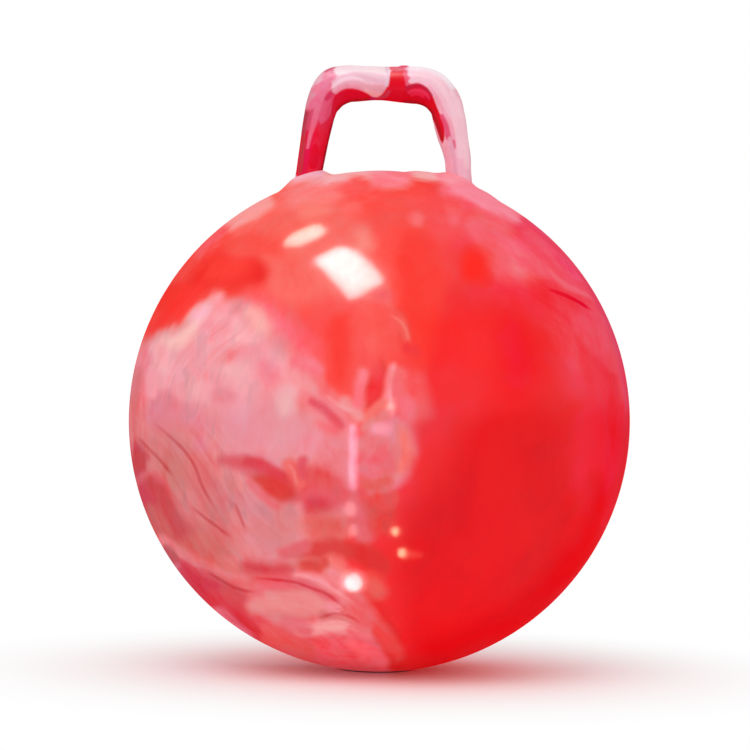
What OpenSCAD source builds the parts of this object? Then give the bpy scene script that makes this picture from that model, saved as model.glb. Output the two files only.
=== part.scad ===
// Hopper ball: an inflated ball of marbled vinyl, with a hollow grip handle and an air plug on its crown.
// Millimetres, +Z up, the crossbar of the handle along X. The origin is the centre of the patch that the
// ball rests on.

/* [Ball] */
// Outside diameter of the inflated ball
ball_d = 450; // [400:5:650]
// Wall of the vinyl skin
skin_t = 1; // [0.8:0.1:2]
// Radius of the patch that the ball's own weight presses flat against the floor
patch_r = 26; // [16:1:40]

/* [Handle] */
// Clear height from the ball's crown to the underside of the crossbar
grip_h = 62.5; // [50:0.5:80]
// Distance between the centre lines of the legs, where they cross the crossbar's centre line
grip_span = 104.5; // [95:0.5:120]
// Lean of each leg away from upright, in degrees
leg_lean = 10.3; // [6:0.1:14]
// Radius of the crossbar at its middle
bar_r = 15.5; // [13:0.5:17]
// Radius of the two corners
corner_r = 16; // [13.5:0.5:17.5]
// Radius of the turn at each corner, on the centre line
bend_r = 28.5; // [22:0.5:32]
// Length of the shoulder, where the leg narrows below the corner
shoulder_l = 12; // [8:0.5:16]
// Radius of each leg below its shoulder
leg_r = 13.8; // [12:0.2:15]
// Radius of each leg at its foot
foot_r = 11.5; // [9:0.5:12.5]
// Wall of the hollow handle
handle_wall = 3; // [2:0.5:4]
// Radius of the stub that the mould's vent left on top of the crossbar
stub_r = 3.6; // [2:0.2:5]
// Height of that stub
stub_h = 2.2; // [1:0.2:3]
// Distance of the stub from the crossbar's middle
stub_x = 18; // [0:1:24]

/* [Collars] */
// Height of the collar above the ball
collar_rise = 7.1; // [4:0.1:9]
// Thickness of the collar's lip round the leg
collar_lip = 1; // [0.6:0.2:3]
// Width of the flare that runs from the lip out onto the ball
collar_flare = 24; // [14:0.5:30]
// Depth of the socket that the foot is welded into, below the lip
socket_depth = 14; // [12:0.5:18]
// Wall and floor of the cup that the socket makes inside the ball
cup_wall = 3; // [2:0.5:4]

/* [Valve seat] */
// Radius of the dimple in the crown that the plug's head lies in
dimple_r = 13; // [12.5:0.5:15]
// Depth of that dimple
dimple_depth = 3; // [2.8:0.1:4]
// How much wider the dimple is at its mouth than at its floor
dimple_flare = 4; // [2:0.5:6]
// Thickness of the skin under the dimple
crown_t = 3; // [2:0.5:5]
// Radius of the thick part of the skin round the valve
crown_r = 20; // [19:0.5:24]
// Radius of the air bore
bore_r = 5; // [4.5:0.1:6]
// Wall of the seat round the air bore
seat_wall = 3; // [2.4:0.2:4]
// Radius of the seat's flange inside the ball
flange_r = 15; // [13:0.5:17.5]
// Thickness of that flange
flange_t = 2; // [1.5:0.5:3]
// Length of the sleeve below the flange
sleeve_l = 10; // [9:0.5:13]
// Depth of the lead-in at the mouth of the bore
lead_in = 0.8; // [0.4:0.2:1.2]

/* [Air plug] */
// Radius of the plug's head
head_r = 11.5; // [10:0.5:12]
// Thickness of the head
head_t = 2.4; // [2:0.1:2.7]
// Bevel under the head's edge, where a fingernail lifts it
head_bevel = 0.9; // [0.4:0.1:1.2]
// Radius of the shallow dish in the top of the head
dish_r = 8; // [6:0.5:9]
// Depth of that dish
dish_depth = 0.7; // [0.4:0.1:1]
// Length of the plug's stem below its head
stem_l = 19; // [16:0.5:22]
// How far the sealing ribs stand out of the stem
rib_h = 0.5; // [0.3:0.1:0.8]
// Distance between the sealing ribs
rib_pitch = 4; // [3:0.5:4.5]
// Length of the taper at the stem's tip
tip_l = 3; // [2:0.5:4]
// Radius of the hollow up the middle of the stem
core_r = 2.6; // [2:0.1:3]
// Depth of that hollow
core_depth = 14; // [10:0.5:15]

/* [Hidden] */
$fn = 96;

// Gap of a bond line between two pieces that are welded together
bond_gap = 0.1;
// Radial clearance between the plug's ribs and the bore
plug_clear = 0.05;
// Gap under the plug's head when it is pressed home
head_gap = 0.05;
// How far the edge of the collar's flare lies inside the ball's surface
flare_bite = 0.3;
// How far a cut runs past the face that it opens
overrun = 5;
// Number of sealing ribs on the plug
rib_count = 3;

ball_r = ball_d / 2;
// Heights of the ball's centre and of its crown above the floor
ball_z = sqrt(ball_r * ball_r - patch_r * patch_r);
crown_z = ball_z + ball_r;
// Height of the crossbar's centre line
bar_z = crown_z + grip_h + bar_r;

// Angle of the turn at each corner, and how much it takes off the leg and off half the crossbar
turn = 90 - leg_lean;
turn_cut = bend_r * tan(turn / 2);
bar_half = grip_span / 2 - turn_cut;

// Distance down the leg's centre line, from where it crosses the crossbar's, to the collar's lip
lip_ball_r = ball_r + collar_rise;
leg_b = cos(leg_lean) * (bar_z - ball_z) - sin(leg_lean) * grip_span / 2;
leg_c = grip_span * grip_span / 4 + (bar_z - ball_z) * (bar_z - ball_z) - lip_ball_r * lip_ball_r;
to_lip = leg_b - sqrt(leg_b * leg_b - leg_c);

// Other places along the leg, measured down its centre line from the same point
to_shoulder = turn_cut + shoulder_l;
to_straight = to_lip - foot_r;
to_floor = to_lip + socket_depth;
to_foot = to_floor - bond_gap;

// Each collar stands square on the ball, at this angle from the vertical
collar_tilt = asin((grip_span / 2 + to_lip * sin(leg_lean)) / lip_ball_r);

// Sizes of the collar and of its socket
socket_r = foot_r + bond_gap;
cup_r = socket_r + cup_wall;
lip_r = socket_r / cos(collar_tilt + leg_lean) + collar_lip;
collar_r = lip_r + collar_flare;

// The flare is an arc from the lip down to the point where it would touch a ball that is smaller by
// the bite, so it meets the real one at a small angle
bite_r = ball_r - flare_bite;
edge_angle = asin(collar_r / bite_r);
edge_z = bite_r * cos(edge_angle);
flare_drop = lip_ball_r - edge_z;
flare_gap = lip_r * sin(edge_angle) + lip_ball_r * cos(edge_angle) - bite_r;
flare_r = (collar_flare * collar_flare + flare_drop * flare_drop) / (2 * flare_gap);

// Levels of the valve, from the top down
dimple_z = crown_z - dimple_depth;
crown_under_z = dimple_z - crown_t;
flange_top_z = crown_under_z - bond_gap;
flange_z = flange_top_z - flange_t;
sleeve_z = flange_z - sleeve_l;
head_z = dimple_z + head_gap;
tip_z = head_z - stem_l;

seat_r = bore_r + seat_wall;
stem_r = bore_r - plug_clear - rib_h;

// Repeats the right-hand half of something on the left
module both_sides() {
    children();
    mirror([1, 0, 0]) children();
}

// Lays something drawn below z = 0 along the right leg, down from the crossbar's centre line
module along_leg() {
    translate([grip_span / 2, 0, bar_z]) rotate([0, -leg_lean, 0]) children();
}

// A ball about the common centre, cut flat at the given height
module flattened_ball(r, floor_z) {
    intersection() {
        translate([0, 0, ball_z]) sphere(r);
        translate([-ball_r, -ball_r, floor_z]) cube([ball_d, ball_d, ball_d]);
    }
}

// The right leg's collar, whose flare runs in an arc from the lip out to the ball
module collar() {
    translate([0, 0, ball_z])
        rotate([0, collar_tilt, 0])
            rotate_extrude()
                difference() {
                    translate([0, edge_z - overrun]) square([collar_r, flare_drop + overrun]);
                    rotate(-edge_angle) translate([0, bite_r + flare_r]) circle(flare_r);
                }
}

// The cup that the socket makes inside the ball
module cup() {
    translate([0, 0, -to_floor - cup_wall]) cylinder(h = socket_depth + cup_wall, r = cup_r);
}

module socket() {
    translate([0, 0, -to_floor]) cylinder(h = to_floor - to_straight + overrun, r = socket_r);
}

// The air space in the ball, less the thick crown and the two cups
module air_space() {
    difference() {
        flattened_ball(ball_r - skin_t, skin_t);
        translate([0, 0, crown_under_z]) cylinder(h = ball_r, r = crown_r);
        both_sides() along_leg() cup();
    }
}

// The dimple in the crown, and the hole in its floor that the valve seat stands in
module valve_opening() {
    slope = dimple_flare / dimple_depth;
    dimple_h = dimple_depth + overrun;
    translate([0, 0, dimple_z])
        cylinder(h = dimple_h, r1 = dimple_r, r2 = dimple_r + slope * dimple_h);
    translate([0, 0, crown_under_z - overrun])
        cylinder(h = crown_t + 2 * overrun, r = seat_r + bond_gap);
}

module ball_skin() {
    color([0.90, 0.13, 0.15])
        difference() {
            union() {
                flattened_ball(ball_r, 0);
                both_sides() collar();
            }
            air_space();
            both_sides() along_leg() socket();
            valve_opening();
        }
}

// Half of the crossbar and one corner, thinner all round by the inset
module half_bar(inset) {
    translate([0, 0, bar_z])
        rotate([0, 90, 0]) cylinder(h = bar_half, r1 = bar_r - inset, r2 = corner_r - inset);
    translate([bar_half, 0, bar_z - bend_r])
        rotate([90, 0, 0])
            rotate_extrude(angle = turn, start = leg_lean)
                translate([bend_r, 0]) circle(corner_r - inset);
}

// A leg from the corner down to its foot in the socket, thinner all round by the inset. Its core runs
// on up into the corner.
module leg(inset) {
    translate([0, 0, -to_shoulder]) {
        cylinder(h = shoulder_l, r1 = leg_r - inset, r2 = corner_r - inset);
        cylinder(h = shoulder_l + overrun, r = leg_r - inset);
    }
    translate([0, 0, -to_straight])
        cylinder(h = to_straight - to_shoulder, r1 = foot_r - inset, r2 = leg_r - inset);
    translate([0, 0, -to_foot + inset])
        cylinder(h = to_foot - inset - to_straight, r = foot_r - inset);
}

module bent_bar(inset) {
    both_sides() {
        half_bar(inset);
        along_leg() leg(inset);
    }
}

module handle() {
    color([0.93, 0.45, 0.55])
        difference() {
            union() {
                bent_bar(0);
                translate([stub_x, 0, bar_z]) cylinder(h = bar_r + stub_h, r = stub_r);
            }
            bent_bar(handle_wall);
        }
}

module valve_seat() {
    color([0.93, 0.90, 0.86])
        difference() {
            union() {
                translate([0, 0, sleeve_z]) cylinder(h = dimple_z - sleeve_z, r = seat_r);
                translate([0, 0, flange_z]) cylinder(h = flange_t, r = flange_r);
            }
            translate([0, 0, sleeve_z - overrun])
                cylinder(h = dimple_z - sleeve_z + 2 * overrun, r = bore_r);
            translate([0, 0, dimple_z - lead_in])
                cylinder(h = 2 * lead_in, r1 = bore_r, r2 = bore_r + 2 * lead_in);
        }
}

// The plug's head, bevelled below and dished on top
module plug_head() {
    difference() {
        union() {
            translate([0, 0, head_z + head_bevel]) cylinder(h = head_t - head_bevel, r = head_r);
            translate([0, 0, head_z]) cylinder(h = head_bevel, r1 = head_r - head_bevel, r2 = head_r);
        }
        translate([0, 0, head_z + head_t - dish_depth])
            cylinder(h = dish_depth + overrun, r = dish_r);
    }
}

// The plug's stem, with its sealing ribs and its tapered tip
module plug_stem() {
    translate([0, 0, tip_z + tip_l]) cylinder(h = stem_l - tip_l, r = stem_r);
    translate([0, 0, tip_z]) cylinder(h = tip_l, r1 = (stem_r + core_r) / 2, r2 = stem_r);
    for (i = [1:rib_count])
        translate([0, 0, head_z - i * rib_pitch])
            rotate_extrude() translate([stem_r, 0]) circle(rib_h);
}

module air_plug() {
    color([0.96, 0.96, 0.94])
        difference() {
            union() {
                plug_head();
                plug_stem();
            }
            translate([0, 0, tip_z - overrun]) cylinder(h = core_depth + overrun, r = core_r);
        }
}

ball_skin();
handle();
valve_seat();
air_plug();
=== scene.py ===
import bpy
import numpy as np
from mathutils import Matrix


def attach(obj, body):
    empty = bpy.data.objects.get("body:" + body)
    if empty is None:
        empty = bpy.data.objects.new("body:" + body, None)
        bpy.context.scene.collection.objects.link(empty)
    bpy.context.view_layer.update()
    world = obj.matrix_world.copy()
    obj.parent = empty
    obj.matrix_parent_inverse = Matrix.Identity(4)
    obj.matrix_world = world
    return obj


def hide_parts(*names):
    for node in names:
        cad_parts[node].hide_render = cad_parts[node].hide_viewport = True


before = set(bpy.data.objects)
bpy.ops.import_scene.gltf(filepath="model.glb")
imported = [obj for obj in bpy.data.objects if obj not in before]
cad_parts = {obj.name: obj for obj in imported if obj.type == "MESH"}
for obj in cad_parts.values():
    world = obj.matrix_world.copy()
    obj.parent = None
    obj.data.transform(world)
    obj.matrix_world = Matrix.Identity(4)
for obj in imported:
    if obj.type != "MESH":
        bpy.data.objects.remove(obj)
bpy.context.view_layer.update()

# ---- Camera ----------------------------------------------------------------
# A level camera 2.5 m from the middle of the ball, which it sees a little low and to the right. The
# ball stands turned in the picture by just under a degree, so the camera is rolled by as much. Places in
# the picture are counted in pixels from the middle of its first one.
scene = bpy.context.scene
far = 2500.0
roll = np.radians(0.95)
picture_px = 750
middle_px = picture_px / 2 - 0.5
focal_px = 2774.25
ball_px = (378.8, 420.4)

across = np.array([np.cos(roll), 0.0, np.sin(roll)])
upward = np.array([-np.sin(roll), 0.0, np.cos(roll)])
ahead = np.array([0.0, 1.0, 0.0])

# ---- Ball skin -------------------------------------------------------------
# One hollow ball of soft vinyl about a millimetre thick, moulded by turning the hot mould over. Two
# collars stand up on its crown to take the handle's feet, and between them lies a dimple with the hole
# of the air valve. The ball's weight presses a small flat patch where it rests.
MM = 0.001
ball_r = 225.0
patch_r = 26.0
ball_z = np.sqrt(ball_r ** 2 - patch_r ** 2)
crown_z = ball_z + ball_r
centre = np.array([0.0, 0.0, ball_z])
skin_t = 1.0
eye = (centre - (ball_px[0] - middle_px) / focal_px * far * across
       + (ball_px[1] - middle_px) / focal_px * far * upward - far * ahead)

# The left and the right collar, each as (distance along the ball from its middle, height)
collar_tilt = np.radians(16.8)
collar_outside = [
    [(0, 7.1), (15, 7.1), (19.5, 5.0), (24.1, 2.9), (28.8, 1.0), (33, 0.0), (60, 0)],
    [(0, 7.1), (10, 7.1), (12.1, 6.4), (16.2, 4.2), (20.5, 2.8), (24.5, 2.4), (32.5, 2.1), (36.8, 1.4),
     (41, 0.7), (46, 0.0), (60, 0)],
]
collar_inside = [
    [(0, 7.1), (12, 7.1), (15, 4.6), (18, 1.9), (23, 0.2), (26, 0.0), (60, 0)],
    [(0, 7.1), (12, 7.1), (16, 5.0), (21.9, 3.6), (27.4, 3.4), (32.8, 2.9), (38.3, 2.5), (43.7, 1.2),
     (48, 0.0), (60, 0)],
]

dimple_deep = 3.0
dimple_z = crown_z - dimple_deep
dimple_r = 13.0
dimple_mouth_r = 16.2
port_r = 8.1
crown_t = 3.0
crown_under_z = dimple_z - crown_t


def rounded(points, radii):
    """Profile through the points with each corner turned on a short curve: the curve leaves and meets
    the two sides at the radius from the corner, and is the quadratic with the corner as its middle
    control point."""
    out = [points[0]]
    for before, at, after, r in zip(points, points[1:], points[2:], radii):
        before, at, after = (np.array(p, float) for p in (before, at, after))
        start = at + (before - at) * min(0.5, r / np.linalg.norm(before - at))
        end = at + (after - at) * min(0.5, r / np.linalg.norm(after - at))
        s = np.linspace(0, 1, 6)[:, None]
        out += list((1 - s) ** 2 * start + 2 * s * (1 - s) * at + s ** 2 * end)
    return np.array(out + [points[-1]], float)


def smooth_table(table, reach=70.0, blur=1.6):
    """Heights read off a table of (distance, height) every half millimetre, then averaged with a
    bell-shaped weight of the given width so that no corner shows. Returns the distances and the
    smoothed heights."""
    spacing = 0.5
    s = np.arange(-reach, reach, spacing)
    at, height = np.array(table, float).T
    raw = np.interp(np.abs(s), at, height)
    bell = np.exp(-(np.arange(-12, 13) * spacing / blur) ** 2 / 2)
    return s, np.convolve(raw, bell / bell.sum(), "same")


def collar_height(direction):
    """Height of both collars over the ball along each direction from its centre: it depends on the
    distance along the ball from the collar's middle, and goes over from the outer side's profile to
    the inner side's with half of one plus the cosine of the bearing."""
    height = np.zeros(direction.shape[:-1])
    for side, outside, inside in zip((-1, 1), collar_outside, collar_inside):
        axis = np.array([side * np.sin(collar_tilt), 0, np.cos(collar_tilt)])
        away = np.array([side * np.cos(collar_tilt), 0, -np.sin(collar_tilt)])
        along = direction @ axis
        s = ball_r * np.arccos(np.clip(along, -1, 1))
        flat = direction - along[..., None] * axis
        bearing = (flat @ away) / np.maximum(np.linalg.norm(flat, axis=-1), 1e-9)
        part = (1 + bearing) / 2
        height += part * np.interp(s, *smooth_table(outside))
        height += (1 - part) * np.interp(s, *smooth_table(inside))
    return height


def new_piece(name, rings, first=None, last=None):
    """Mesh through rings of points, each ring closed on itself. A first and a last point close the ends
    with fans. Faces are turned over where the sum of their areas times their offsets from the middle
    is negative, so that they look outwards. Lengths come in millimetres and the mesh is in metres."""
    n, m = rings.shape[:2]
    row = np.arange(n - 1)[:, None] * m
    j = np.arange(m)[None, :]
    k = (j + 1) % m
    faces = np.stack([row + j, row + k, row + m + k, row + m + j], -1).reshape(-1, 4).tolist()
    points = rings.reshape(-1, 3)
    j, k = j[0], k[0]
    for pole, base, turned in ((first, 0, True), (last, (n - 1) * m, False)):
        if pole is not None:
            tip = np.full(m, len(points))
            points = np.vstack([points, pole])
            fan = (tip, base + k, base + j) if turned else (tip, base + j, base + k)
            faces += np.stack(fan, -1).tolist()
    near = rings[:-1]
    span, rise = np.roll(near, -1, 1) - near, rings[1:] - near
    if (np.cross(span, rise) * (near - rings.mean((0, 1)))).sum() < 0:
        faces = [face[::-1] for face in faces]
    mesh = bpy.data.meshes.new(name)
    mesh.from_pydata((points * MM).tolist(), [], faces)
    mesh.polygons.foreach_set("use_smooth", np.ones(len(mesh.polygons), bool))
    mesh.update()
    piece = bpy.data.objects.new(name, mesh)
    scene.collection.objects.link(piece)
    return piece


def lathe(profile, turn):
    """Rings of a profile of (radius, height), turned about the upright axis by the given angles."""
    r, z = np.array(profile, float).T[..., None]
    return np.stack([r * np.cos(turn), r * np.sin(turn), np.repeat(z, len(turn), 1)], -1)


def ball_rings():
    """Rings of the skin from the pole of its inner face, up to the port, over the dimple and down the
    outer face to the resting patch. The outer face stands off the ball by the collars' height, a tenth
    of a millimetre within the solid. Its patch is the larger of the ball's height and the floor's, taken
    softly: half of z plus the root of z squared and a little. Rings and columns are closer together
    towards the middle of the front."""
    inset, patch_blend = 0.1, 0.16
    front_columns, back_columns, inner_rows, crown_rows, lower_rows = 212, 108, 15, 58, 200
    crown_zone, lower_zone = np.radians(30), np.radians(149.3)
    inner_low_z = 3

    s = np.linspace(-1, 1, front_columns, endpoint=False)
    front = np.pi * (1.5 + s / 2 - 0.2 * np.sin(np.pi * s) / np.pi)
    turn = np.concatenate([front, np.linspace(0, np.pi, back_columns, endpoint=False)])
    inner_r = ball_r - skin_t
    tilt = np.radians(np.linspace(172, 6, inner_rows))
    inner = np.stack([inner_r * np.sin(tilt), ball_z + inner_r * np.cos(tilt)], -1)
    inner = inner[inner[:, 1] > inner_low_z]
    mouth = np.arcsin(dimple_mouth_r / ball_r)
    mouth_z = ball_z + ball_r * np.cos(mouth)
    next_tilt = mouth + np.radians(0.7)
    port = rounded(
        [(20, crown_under_z - 1.5), (port_r, crown_under_z), (port_r, dimple_z), (dimple_r, dimple_z),
         (dimple_mouth_r, mouth_z), (ball_r * np.sin(next_tilt), ball_z + ball_r * np.cos(next_tilt))],
        [0.4, 0.5, 1.2, 1.6])
    low = lathe(np.vstack([inner, port]), turn)

    s = np.linspace(0, 1, lower_rows)[1:]
    tilt = np.concatenate([
        np.linspace(next_tilt, crown_zone, crown_rows)[1:],
        crown_zone + lower_zone * (s + 0.4 * np.sin(2 * np.pi * s) / (2 * np.pi))])
    direction = lathe(np.stack([np.sin(tilt), np.cos(tilt)], -1), turn)
    outer = centre + (ball_r - inset + collar_height(direction))[..., None] * direction
    z = outer[..., 2]
    outer[..., 2] = (z + np.sqrt(z ** 2 + patch_blend)) / 2
    return np.concatenate([low, outer])


rings = ball_rings()
inner_pole_z = ball_z - ball_r + 2 * skin_t
skin = new_piece("marbled_skin", rings, first=(0, 0, inner_pole_z), last=(0, 0, rings[-1, :, 2].mean()))
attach(skin, "ball")
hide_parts("ball_skin")


def in_picture(points):
    """Where each point shows in the picture, in pixels across and down, as a pinhole camera sees it:
    the offset from the camera over the distance ahead of it, times the focal length."""
    ray = points - eye
    depth = ray @ ahead
    return middle_px + focal_px * (ray @ across) / depth, middle_px - focal_px * (ray @ upward) / depth


def mesh_points(piece):
    """The mesh's points in millimetres, and how squarely the surface faces the camera there: minus the
    cosine between its outward direction and the line of sight, zero on the outline."""
    vertices = piece.data.vertices
    flat, normal = np.empty(len(vertices) * 3), np.empty(len(vertices) * 3)
    vertices.foreach_get("co", flat)
    piece.data.vertex_normals.foreach_get("vector", normal)
    points, normal = flat.reshape(-1, 3) / MM, normal.reshape(-1, 3)
    ray = points - eye
    return points, -(normal * ray).sum(-1) / np.linalg.norm(ray, axis=-1)


def step(low, high, x):
    """Goes from 0 at low to 1 at high along the curve 3s² − 2s³."""
    s = np.clip((x - low) / (high - low), 0, 1)
    return s * s * (3 - 2 * s)


def wander(points, length, seed):
    """Slow unevenness of about the given length in millimetres: twelve sine waves of that length, more
    or less, which run in fixed directions drawn from the seed. Its spread is about one."""
    waves = 12
    draw = np.random.default_rng(seed)
    way = draw.normal(size=(waves, 3))
    way *= (2 * np.pi / (length * draw.uniform(0.7, 1.8, waves)) / np.linalg.norm(way, axis=1))[:, None]
    return np.sin(points @ way.T + draw.uniform(0, 2 * np.pi, waves)).sum(-1) / np.sqrt(waves / 2)


def cut_corners(path, closed):
    """The path with its corners cut twice: each side is replaced by the points a quarter and three
    quarters of the way along it. An open path keeps its ends."""
    path = np.array(path, float)
    for _ in range(2):
        before, after = (path, np.roll(path, -1, 0)) if closed else (path[:-1], path[1:])
        cut = np.stack([0.75 * before + 0.25 * after, 0.25 * before + 0.75 * after], 1)
        cut = cut.reshape(-1, path.shape[1])
        path = cut if closed else np.vstack([path[:1], cut, path[-1:]])
    return path


def spread(u, v, path, soft):
    """How much of a colour lies at each point of the picture. A path of (across, down) is the outline of
    a blot, and one of (across, down, half width) is the line of a brush stroke. With its corners cut, the
    distance to its edge goes from 0 to 1 over the soft width."""
    closed = len(path[0]) == 2
    path = cut_corners(path, closed)
    wide = soft + (0.0 if closed else path[:, 2].max())
    low, high = path[:, :2].min(0) - wide, path[:, :2].max(0) + wide
    near = (u > low[0]) & (u < high[0]) & (v > low[1]) & (v < high[1])
    mask = np.zeros_like(u)
    if not near.any():
        return mask
    p = np.stack([u[near], v[near]], -1)
    away = np.full(len(p), 1e9)
    inside = np.zeros(len(p), bool)
    for a, b in zip(path, np.roll(path, -1, 0) if closed else path[1:]):
        side = b[:2] - a[:2]
        t = np.clip(((p - a[:2]) @ side) / max(side @ side, 1e-9), 0, 1)
        d = np.linalg.norm(p - a[:2] - t[:, None] * side, axis=-1)
        if not closed:
            d = d - (a[2] + t * (b[2] - a[2]))
        elif a[1] != b[1]:
            crosses = (a[1] > p[:, 1]) != (b[1] > p[:, 1])
            inside ^= crosses & (p[:, 0] < a[0] + (p[:, 1] - a[1]) / (b[1] - a[1]) * side[0])
        away = np.minimum(away, d)
    if closed:
        mask[near] = step(soft / 2, -soft / 2, np.where(inside, -away, away))
    else:
        mask[near] = step(soft, 0, away)
    return mask


def marble(points, facing, strokes, ground, back, warp, drift):
    """Share of white vinyl, tint from orange to magenta, share of dark vinyl, and strength of the fine
    mottling at each point. Some strokes use the white share for painted sheen and reflections along the
    outline, and the dark share for painted shade. The strokes are laid over the ground one after another
    where the camera sees the piece, and waver by the warp in pixels. They run on round its outline, and
    drift apart there by some pixels more, before the back's own mixture takes over along an uneven line."""
    slow_mm, fine_mm = 34, 12
    behind = step(0.0, -0.5, facing)

    def bent(place, slow_seed, fine_seed, apart_seed):
        slow, fine = wander(points, slow_mm, slow_seed), wander(points, fine_mm, fine_seed)
        return place + warp * slow + 0.4 * warp * fine + drift * behind * wander(points, 5 * drift, apart_seed)

    u, v = in_picture(points)
    u, v = bent(u, 1, 2, 5), bent(v, 3, 4, 6)
    mix = np.tile(np.array(ground, float), (len(points), 1))
    for soft, change, path in strokes:
        mix += spread(u, v, path, soft)[:, None] * (np.array(change) - mix)
    front = step(-0.9, -0.3, facing + 0.3 * behind * wander(points, 3 * drift, 7))
    return back + front[:, None] * (mix - back)


def store(piece, name, values):
    """Keeps four numbers for each point of the mesh, for the material to read."""
    layer = piece.data.attributes.new(name, "FLOAT_COLOR", "POINT")
    layer.data.foreach_set("color", np.ascontiguousarray(values, np.float32).ravel())


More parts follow.
